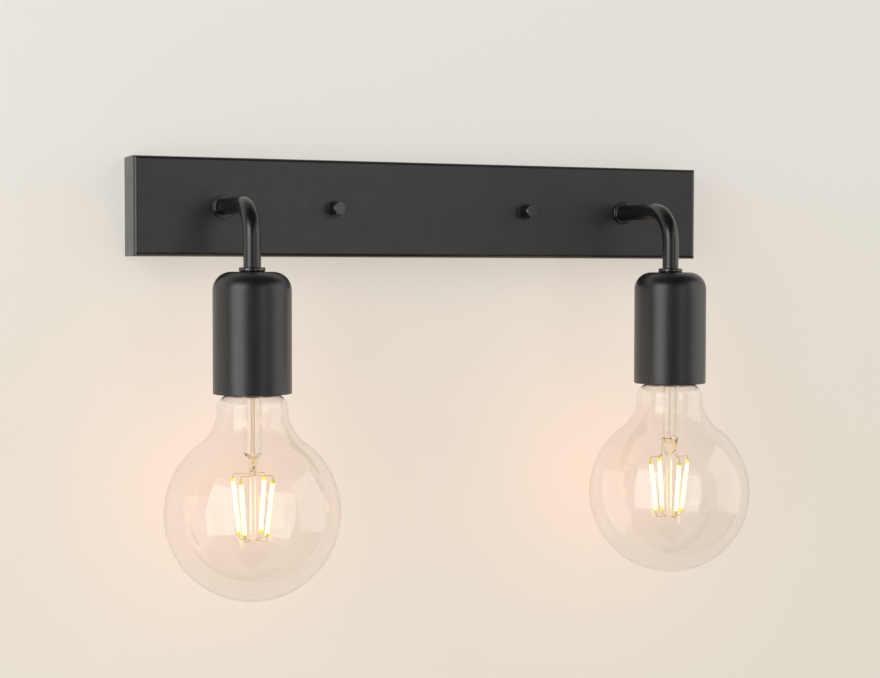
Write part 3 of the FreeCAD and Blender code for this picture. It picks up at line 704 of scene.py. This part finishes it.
def hex_rows(flats, height, low_chamfer, high_chamfer, segments):
    """Four rows up a hexagon bar that stands on z = 0, with its corners turned down at both ends."""
    corner = flats / math.sqrt(3)
    least = 0.02
    low_face, low, high, high_face = [], [], [], []
    for index in range(segments):
        angle = TURN * index / segments
        off_flat = (angle - TURN / 12) % (TURN / 6)
        off_flat = min(off_flat, TURN / 6 - off_flat)
        wall = flats / 2 / math.cos(off_flat)
        across = (math.cos(angle), math.sin(angle))
        for row, radius, level in (
            (low_face, min(wall, corner - low_chamfer), 0),
            (low, wall, max(least, low_chamfer - corner + wall)),
            (high, wall, height - max(least, high_chamfer - corner + wall)),
            (high_face, min(wall, corner - high_chamfer), height),
        ):
            row.append((radius * across[0], radius * across[1], level))
    return [low_face, low, high, high_face]


def cap_nut():
    """Closed hexagon nut on z = 0, with its thread's hole from below."""
    flats, height, crown = 7.5, 9.7, 2.6
    bore, depth, point, lead = 2.05, 7.6, 0.9, 0.3
    segments = 96
    rows = [[(0, 0, depth + point)], oval_row(bore, bore, depth, segments)]
    rows += [oval_row(bore, bore, lead, segments), oval_row(bore + lead, bore + lead, 0, segments)]
    rows += hex_rows(flats, height, low_chamfer=0.4, high_chamfer=0.7, segments=segments)
    rows += [oval_row(crown, crown, height, segments), [(0, 0, height)]]
    return joined_rows(rows, False)


def nut_washer():
    """Flat ring on z = 0."""
    hole, edge, thick = 2.25, 4.7, 0.8
    stops = [(hole, 0, 0.1), (edge, 0, 0.2), (edge, thick, 0.25), (hole, thick, 0.1)]
    return turned(rounded(stops, 4), 64)


def mounting_stud():
    """Rounded head behind the bracket and a threaded shank, along +Z from the head."""
    length = stud_head_back - stud_tip
    head, head_height, shank, tip = 3.5, 2.5, 2.0, 1.5
    stops = [(0, 0, 0), (head, 0, 1.0), (head, head_height, 0), (shank, head_height, 0)]
    outline = [(point.x, point.y) for point in rounded(stops, 8)]
    pitch, rows_per_turn, full_depth = 0.7, 7, 0.28
    first, last = 2.7, length - 0.5
    first_fade, last_fade = 0.7, 0.5
    steps = round((last - first) / pitch * rows_per_turn)

    def depth(height):
        return full_depth * smooth((height - first) / first_fade) * smooth((last - height) / last_fade)

    outline += thread_rows(first, last, lambda height: shank, depth, steps)
    outline += [(tip, length), (0, length)]
    return turned(outline, 36, False, pitch)


def cross_recess(x, y):
    """Two tapered bars that cut a driver's cross into a screw head at that place."""
    reach, half, above, deep, taper = 1.9, 0.5, 0.6, 1.5, 0.35
    bars = []
    for wide, high in ((reach, half), (half, reach)):
        points = []
        for share, height in ((1.0, -above), (taper, deep)):
            for across, up in ((-1, -1), (1, -1), (1, 1), (-1, 1)):
                points.append((across * wide * share, up * high * share, height))
        faces = [(0, 1, 2, 3), (7, 6, 5, 4), (0, 4, 5, 1), (1, 5, 6, 2), (2, 6, 7, 3), (3, 7, 4, 0)]
        bars.append((placed((points, faces), facing_out(x, y)), 0))
    return bars


def mounting_studs():
    """Both studs as one piece, with the recesses cut into their heads."""
    places = [(side * stud_x, stud_head_back) for side in SIDES.values()]
    shapes = [(placed(mounting_stud(), facing_out(*place)), 0) for place in places]
    studs = make("threaded_studs", shapes, [zinc_steel])
    for place in places:
        for bar in cross_recess(*place):
            cutter = make("cutter", [bar], [])
            cut = studs.modifiers.new("recess", "BOOLEAN")
            cut.operation = "DIFFERENCE"
            cut.solver = "EXACT"
            cut.object = cutter
            settle(studs)
            bpy.data.objects.remove(cutter)
    studs.data.set_sharp_from_angle(angle=math.radians(sharp_angle))
    return studs


def socket_shell():
    """Rolled thread that the bulb's cap screws into, with its flange under the contact block."""
    low, high = -97.25, -72.4
    thread_low, thread_high, fade, full_depth = -95.6, -76.6, 1.5, 0.9
    bore, hole, wall = 13.45, 10.85, 0.35
    steps = 110

    def depth(height):
        return full_depth * smooth((height - thread_low) / fade) * smooth((thread_high - height) / fade)

    inner = thread_rows(low, high - wall, lambda height: bore, depth, steps)
    outer = thread_rows(low, high, lambda height: bore, depth, steps, wall)
    outline = inner + [(hole, high - wall), (hole, high)] + outer[::-1]
    return turned(outline, screw_segments, True, screw_pitch)


# Bulb pieces


def arc(centre_radius, centre_height, radius, start, end, steps):
    """Stops on an arc, from its start angle to its end angle."""
    angles = [start + (end - start) * step / steps for step in range(steps + 1)]
    return [(centre_radius + radius * math.cos(a), centre_height + radius * math.sin(a)) for a in angles]


def glass_outline(inset):
    """The bulb's glass from its seal at the cap to the bottom of the globe, moved inwards by inset."""
    globe = globe_radius - inset
    fillet = neck_fillet + inset
    shoulder = neck_shoulder - inset
    neck = neck_radius - inset
    seal = seal_radius - inset
    rise = math.sqrt((globe + fillet) ** 2 - (neck + fillet) ** 2)
    to_seal = math.acos((seal - neck + shoulder) / shoulder)
    to_fillet = math.atan2(rise, neck + fillet)
    seal_step = 3
    outline = [(seal, neck_top), (seal, neck_top - seal_step)]
    outline += arc(neck - shoulder, shoulder_centre, shoulder, to_seal, 0, 14)
    outline += arc(neck + fillet, globe_centre + rise, fillet, math.pi, math.pi + to_fillet, 22)
    outline += arc(0, globe_centre, globe, to_fillet, -math.pi / 2, 84)[1:-1]
    return outline + [(0, globe_centre - globe)]


def bulb_glass():
    """The bulb's glass with both its faces."""
    return turned(glass_outline(0) + glass_outline(glass_wall)[::-1], 144)


def screw_cap():
    """Thin rolled cap: a plain skirt on the glass, the thread, and a shoulder in to the insulator."""
    crest, root, hole, wall = 13.1, 12.15, 10.5, 0.3
    low, high = -98.5, -82.3
    thread_low, thread_high, run_out = -96.4, -82.4, 1.6
    shoulder_start, inside_start, inside_round = -83.5, -82.0, 0.5
    inside_top = cap_shell_top - wall
    steps = 96

    def fade(height):
        return smooth((thread_high - height) / run_out)

    def base(height):
        return root + (crest - root) * fade(height)

    def depth(height):
        return (crest - root) * fade(height) * smooth((height - thread_low) / run_out)

    outer = [(crest, cap_edge)] + thread_rows(low, high, base, depth, steps)
    shoulder = rounded([(root, shoulder_start, 0), (root, cap_shell_top, 1.5), (hole, cap_shell_top, 0)])
    outer += [(point.x, point.y) for point in shoulder[1:]]
    inner = [(crest - wall, cap_edge)] + thread_rows(low, high, base, depth, steps, -wall)
    inner += [(root - wall, inside_start), (root - wall - inside_round, inside_top), (hole, inside_top)]
    return turned(outer + inner[::-1], screw_segments, True, screw_pitch)


def cap_insulator():
    """Glass that closes the cap's top, as a stepped dome."""
    edge, step, crown = 10.35, 7.6, 5.6
    bottom, edge_top, step_top, top = -81.85, -80.5, -79.2, -77.6
    stops = [(0, bottom, 0), (edge, bottom, 0.2), (edge, edge_top, 0.4), (step, step_top, 1.5)]
    stops += [(crown, top, 0.4), (0, top, 0)]
    return turned(rounded(stops), 72)


def tip_contact():
    """Soldered contact: a low dome with a small ring round it."""
    base, edge = -77.45, 4.8
    ring = [(edge, -76.9), (4.55, -76.6), (4.1, -76.5), (3.7, -76.62)]
    dome = [(3.2, -76.5), (2.4, -76.3), (1.3, -76.18), (0, bulb_tip)]
    return turned([(0, base), (edge, base)] + ring + dome, 48)


def eased(start, end, steps):
    """Rows from one (width, depth, height) section to another, without the first section's own."""
    rows = []
    for step in range(1, steps + 1):
        share = step / steps
        soft = smooth(share)
        width, depth = (start[n] + (end[n] - start[n]) * soft for n in range(2))
        rows.append(oval_row(width, depth, start[2] + (end[2] - start[2]) * share))
    return rows


def wire_between(stops, radius):
    """Thin upright wire through the stops."""
    segments = 10
    rows = [[stops[0]]]
    angles = [TURN * index / segments for index in range(segments)]
    for x, y, z in stops:
        rows.append([(x + radius * math.cos(a), y + radius * math.sin(a), z) for a in angles])
    return joined_rows(rows + [[stops[-1]]], False)


def glass_stem():
    """Flared stem with the thin exhaust tube inside, and its flattened press with the wires that
    are sealed in it and the centre rod below. Materials: 0 stem, 1 press, 2 exhaust tube, 3 wires."""
    flare_end, press_top, flat_top, flat_end = -103.65, -134.95, -137.95, -141.15
    taper_end, rod_end = -146.15, -182.85
    mouth, tube, rod = 11.6, 5.0, 1.5
    bore_mouth, bore, bore_end = 10.5, 3.9, press_top + 1.0
    press_wide, press_deep, press_start = 4.7, 2.5, press_top - 0.6
    pinch, pinch_foot = (3.6, 1.1, press_top - 1.6), (2.4, 0.6, press_top - 2.1)
    pinch_end = press_top - 2.3
    rod_rounding = ((1.25, 0.35), (0.7, 0.05))
    top = (tube, tube, press_top)
    flat = (press_wide, press_deep, flat_top)
    low_flat = (press_wide, press_deep, flat_end)
    taper, last = (rod, rod, taper_end), (rod, rod, rod_end + 0.9)

    flare = rounded([(mouth, neck_top, 0), (tube, flare_end, 8.0), (tube, press_top, 0)], 12)
    outer = [oval_row(point.x, point.x, point.y) for point in flare]
    for start, end, steps in ((top, flat, 8), (flat, low_flat, 2), (low_flat, taper, 8), (taper, last, 6)):
        outer += eased(start, end, steps)
    outer += [oval_row(radius, radius, rod_end + rise) for radius, rise in rod_rounding]
    outer.append([(0, 0, rod_end)])

    bell = rounded([(bore_mouth, neck_top, 0), (bore, flare_end, 9.0), (bore, bore_end, 0)], 12)
    inner = [oval_row(point.x, point.x, point.y) for point in bell]
    inner += eased((bore, bore, bore_end), pinch, 6)
    inner += [oval_row(*pinch_foot), [(0, 0, pinch_end)]]

    rows = inner[::-1] + outer
    numbers = []
    for lower, upper in zip(rows, rows[1:]):
        middle = (lower[0][2] + upper[0][2]) / 2
        in_press = taper_end < middle < press_start
        numbers += [1 if in_press else 0] * max(len(lower), len(upper))
    shapes = [(joined_rows(rows, False), numbers)]

    high, low, outside, inside = neck_top - 1, press_top + 0.2, 0.9, 0.7
    exhaust = [(outside, high), (outside, low), (inside, low), (inside, high)]
    shapes.append((turned(exhaust, 32), 2))
    sealed = ((3.5, press_start), (3.4, flat_top), (4.0, flat_end))
    for side in SIDES.values():
        shapes.append((wire_between([(side * x, 0.0, z) for x, z in sealed], 0.25), 3))
    return shapes


def filament(top, bottom):
    """Coated strip of chips between two points, with a metal tab at each end. Materials: 0 the lit
    middle, 1 the unlit ends, 2 the tabs."""
    along = bottom - top
    length = along.length
    along.normalize()
    out = Vector((top.x, top.y, 0)).normalized()
    side = along.cross(out).normalized()
    out = side.cross(along)
    half_width, half_depth, squareness = 1.0, 0.88, 0.8
    unlit, lit_parts = 2.0, 16
    tab, tab_in_coat, tab_wide, tab_deep, tab_segments = 1.2, 0.15, 0.45, 0.2, 12
    segments = 20

    def row(wide_by, deep_by, height, count):
        centre = top + along * height
        points = []
        for index in range(count):
            angle = TURN * index / count
            cosine, sine = math.cos(angle), math.sin(angle)
            wide = math.copysign(abs(cosine) ** squareness, cosine) * wide_by
            deep = math.copysign(abs(sine) ** squareness, sine) * deep_by
            points.append(tuple(centre + side * wide + out * deep))
        return points

    end_sizes = {0: 0.5, 0.12: 0.75, 0.35: 0.93}
    near_end = [*end_sizes, 1.0, unlit]
    lit_rows = [unlit + (length - 2 * unlit) * part / lit_parts for part in range(1, lit_parts)]
    heights = near_end + lit_rows + [length - height for height in reversed(near_end)]
    rows, kinds = [[tuple(top)]], []
    for height in heights:
        size = end_sizes.get(round(min(height, length - height), 2), 1.0)
        rows.append(row(half_width * size, half_depth * size, height, segments))
    rows.append([tuple(bottom)])
    body = joined_rows(rows, False)
    for lower, upper in zip([0] + heights, heights + [length]):
        lit = unlit < (lower + upper) / 2 < length - unlit
        kinds += [0 if lit else 1] * segments
    shapes = [(body, kinds)]
    for start, end in ((-tab, tab_in_coat), (length - tab_in_coat, length + tab)):
        rows = [row(tab_wide, tab_deep, height, tab_segments) for height in (start, end)]
        rows = [[tuple(top + along * start)]] + rows + [[tuple(top + along * end)]]
        shapes.append((joined_rows(rows, False), 2))
    return shapes


def filaments():
    """Four filaments round the centre rod, closer to it at their lower ends."""
    top_radius, bottom_radius = 12.5, 8.4
    top_height, bottom_height = cap_edge - 45.9, cap_edge - 76.9
    shapes = []
    for number in range(4):
        angle = TURN / 8 + TURN / 4 * number
        across = Vector((math.cos(angle), math.sin(angle), 0))
        top = across * top_radius + Vector((0, 0, top_height))
        bottom = across * bottom_radius + Vector((0, 0, bottom_height))
        shapes += filament(top, bottom)
    return shapes


# The whole lamp


def one_lamp(name, side):
    """Pieces of one side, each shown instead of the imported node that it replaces."""
    x = side * arm_x
    lamp = "lamp_frame"
    nut, washer, tip, bulb = (name + "_" + body for body in ("nut", "washer", "bulb_tip", "bulb"))
    in_cup, in_bulb = upright(x), in_lamp(name)
    on_plate = facing_out(x, plate_front)
    on_stud = facing_out(side * stud_x, nut_seat)
    under_nut = facing_out(side * stud_x, plate_front - washer_gap)

    def as_made(a, b, c):
        return a, b, c

    def show(end, node, body, slot, place, shapes, *looks, crease=sharp_angle, edge=0.0):
        if not isinstance(shapes, list):
            shapes = [(shapes, 0)]
        shapes = [(placed(shape, place), number) for shape, number in shapes]
        piece = make(name + "_" + end, shapes, looks, crease)
        if edge:
            softened(piece, edge)
        stand_in(piece, name + "_" + node, body)

    show("bent_tube", "arm_tube", lamp, "black_tube", as_made, arm_tube(name), black_tube)
    fittings = "black_fittings"
    show("stepped_ferrule", "wall_ferrule", lamp, fittings, on_plate, wall_ferrule(), black_fittings)
    show("rounded_collar", "cup_collar", lamp, fittings, in_cup, cup_collar(), black_fittings)
    show("holder_cup", "cup", lamp, "black_cup", in_cup, cup(), black_cup)
    show("threaded_shell", "socket_shell", lamp, "socket_metal", in_cup, socket_shell(), socket_metal)
    show("hex_cap", "cap_nut", nut, fittings, on_stud, cap_nut(), black_nuts, edge=0.12)
    show("nut_ring", "nut_washer", washer, "black_tube", under_nut, nut_washer(), black_tube)
    show("globe", "bulb_glass", bulb, "clear_glass", in_bulb, bulb_glass(), clear_glass, crease=blown_angle)
    show("threaded_cap", "screw_cap", bulb, "cap_metal", in_cup, screw_cap(), cap_metal)
    show("cap_plug", "cap_insulator", bulb, "cap_glass", in_bulb, cap_insulator(), cap_glass)
    show("solder_tip", "tip_contact", tip, "solder", in_bulb, tip_contact(), solder)
    stem = (stem_glass, press_glass, exhaust_glass, sealed_wire)
    show("pressed_stem", "glass_stem", bulb, "stem_glass", in_bulb, glass_stem(), *stem, crease=blown_angle)
    rods = (filament_lit, filament_end, tab_metal)
    show("lit_filaments", "filaments", bulb, "filament_coating", in_bulb, filaments(), *rods, crease=blown_angle)


def build():
    """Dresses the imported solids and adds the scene's own pieces."""
    dress_packed_nodes()
    stand_in(mounting_studs(), "mounting_studs", "lamp_frame")
    for name, side in SIDES.items():
        one_lamp(name, side)


# Room, light and camera


def pale_to_the_eye(made, strength):
    """Lifts a stage surface towards white where it is seen, directly or in gloss or glass. It adds no
    light to the object, and less of it shows in gloss above the lamp."""
    rays = made.node("ShaderNodeLightPath").outputs
    in_gloss = made.scaled(made.along("Z", 100, 220), 0.0, 1.0, 1.0, 0.1)
    gloss = made.computed("MULTIPLY", rays["Is Glossy Ray"], in_gloss)
    seen = made.computed("MAXIMUM", rays["Is Camera Ray"], rays["Is Transmission Ray"])
    return made.scaled(made.computed("MAXIMUM", seen, gloss), 0.0, 1.0, 0.0, strength)


def wall_paint():
    """Off-white wall, with painted warm light that grows towards the floor, in its colour and in its
    glow. It is clear from behind, so that it hides nothing in a view from there."""
    made = Finish("wall_paint", 0.75)
    high = made.mixed(made.noise(260, 3), (0.43, 0.424, 0.397), (0.44, 0.434, 0.407))
    # Painted warm light: the wall's colour grows warmer towards the floor.
    made.colour(made.mixed(made.along("Z", -150, 100), (0.43, 0.405, 0.338), high))
    made.roughness(made.noise(40, 3), 0.7, 0.8)
    made.bump(made.noise(3, 3), 0.03)
    # Painted warm light in the glow as well: it is warmer towards the floor.
    tone = made.mixed(made.along("Z", -190, 90), (1.0, 0.958, 0.868), (1.0, 0.968, 0.914))
    made.glow(tone, pale_to_the_eye(made, 0.498))
    made.clear_where(made.output("ShaderNodeNewGeometry", "Backfacing"))
    return made.material


def room():
    """The wall, with a hole behind the lamp that leaves its back open to view."""
    hole_x, hole_z, wide, high, y = 0.1779, 0.0275, 2.5, 2.0, 0.0002
    corners = ((-1, -1), (1, -1), (1, 1), (-1, 1))
    points = [(a * x, y, b * z) for x, z in ((wide, high), (hole_x, hole_z)) for a, b in corners]
    faces = [(n, (n + 1) % 4, 4 + (n + 1) % 4, 4 + n) for n in range(4)]
    mesh = bpy.data.meshes.new("wall")
    mesh.from_pydata(points, [], faces)
    mesh.materials.append(wall_paint())
    in_scene("wall", mesh)


def area_light(name, place, aim, size, power, colour):
    """Rectangular lamp of a width and height in metres and a power in watts."""
    light = bpy.data.lights.new(name, "AREA")
    light.shape = "RECTANGLE"
    light.size, light.size_y = size
    light.energy = power
    light.color = colour
    made = in_scene(name, light)
    made.location = place
    made.rotation_euler = (Vector(aim) - Vector(place)).to_track_quat("-Z", "Y").to_euler()


def direction(bearing, height):
    """Unit vector from the lamp: bearing 0 is straight out from the wall and more is to the right."""
    bearing, height = math.radians(bearing), math.radians(height)
    level = math.cos(height)
    return Vector((math.sin(bearing) * level, -math.cos(bearing) * level, math.sin(height)))


def room_lights():
    """A window on the left, a wide lamp and its soft edge on the right, and a weak one behind."""
    aim = Vector((0, -0.06, -0.08))
    daylight, warm = (0.97, 0.985, 1.0), (1.0, 0.985, 0.96)
    for name, distance, bearing, height, size, power, colour in (
        ("window", 1.5, -58, 6, (1.0, 1.55), 10.4, daylight),
        ("window_top", 1.5, -58, 28, (1.0, 0.75), 1.8, daylight),
        ("right_top", 1.9, 42, 28, (2.0, 0.9), 1.2, warm),
        ("right_near", 1.9, 13, 8, (0.6, 1.6), 2.1, warm),
        ("right_middle", 1.9, 35, 8, (0.67, 1.6), 0.35, warm),
        ("right_far", 1.9, 72, 8, (2.0, 2.1), 12.6, warm),
    ):
        area_light(name, aim + distance * direction(bearing, height), aim, size, power, colour)
    area_light("behind", (0.0, 0.9, 0.25), (0, 0, 0), (0.8, 0.6), 4.5, (1.0, 1.0, 1.0))


def bulb_glow():
    """Warm light that each bulb throws on the wall, from a small source that isn't seen itself."""
    for name, side in SIDES.items():
        light = bpy.data.lights.new(name + "_glow", "POINT")
        light.energy = 0.22
        light.color = (1.0, 0.26, 0.03)
        light.shadow_soft_size = 0.014
        made = in_scene(name + "_glow", light)
        made.location = (side * arm_x * MM, arm_axis * MM, -0.163)
        made.visible_camera = False
        made.visible_glossy = False
        made.visible_transmission = False


def room_air():
    """Soft light from all round, warmer below. Gloss sees it bright near the horizon and dark above
    and below. The camera sees pale air, directly or through glass."""
    pale = 0.85
    world = bpy.data.worlds.new("room_light")
    world.use_nodes = True
    made = Nodes(world.node_tree)
    rays = made.node("ShaderNodeLightPath").outputs
    height = made.part(made.output("ShaderNodeTexCoord", "Generated"), "Z")
    reflected = made.scaled(made.computed("ABSOLUTE", height), 0.1, 0.45, 0.29, 0.03)
    lit = made.chosen(rays["Is Glossy Ray"], 0.24, reflected)
    strength = made.chosen(rays["Is Transmission Ray"], lit, pale)
    warmth = made.scaled(height, -0.4, 0.2, 0.0, 1.0)
    sky = made.tree.nodes["Background"].inputs
    made.give(sky["Strength"], made.chosen(rays["Is Camera Ray"], strength, pale))
    made.give(sky["Color"], made.mixed(warmth, (1.0, 0.88, 0.7), (1.0, 0.985, 0.96)))
    bpy.context.scene.world = world


def camera():
    """Camera at the photograph's place, which comes from a fit to the lamp's edges."""
    lens = bpy.data.cameras.new("camera")
    lens.lens = 71.07
    lens.sensor_width = 36.0
    lens.shift_x = -0.046
    lens.shift_y = -0.0058
    made = in_scene("camera", lens)
    made.location = (-0.3676, -1.0005, -0.0351)
    made.rotation_euler = [math.radians(angle) for angle in (87.863, -0.122, -22.258)]
    bpy.context.scene.camera = made


build()
room()
room_lights()
bulb_glow()
room_air()
camera()
bpy.context.scene.view_settings.view_transform = "Standard"
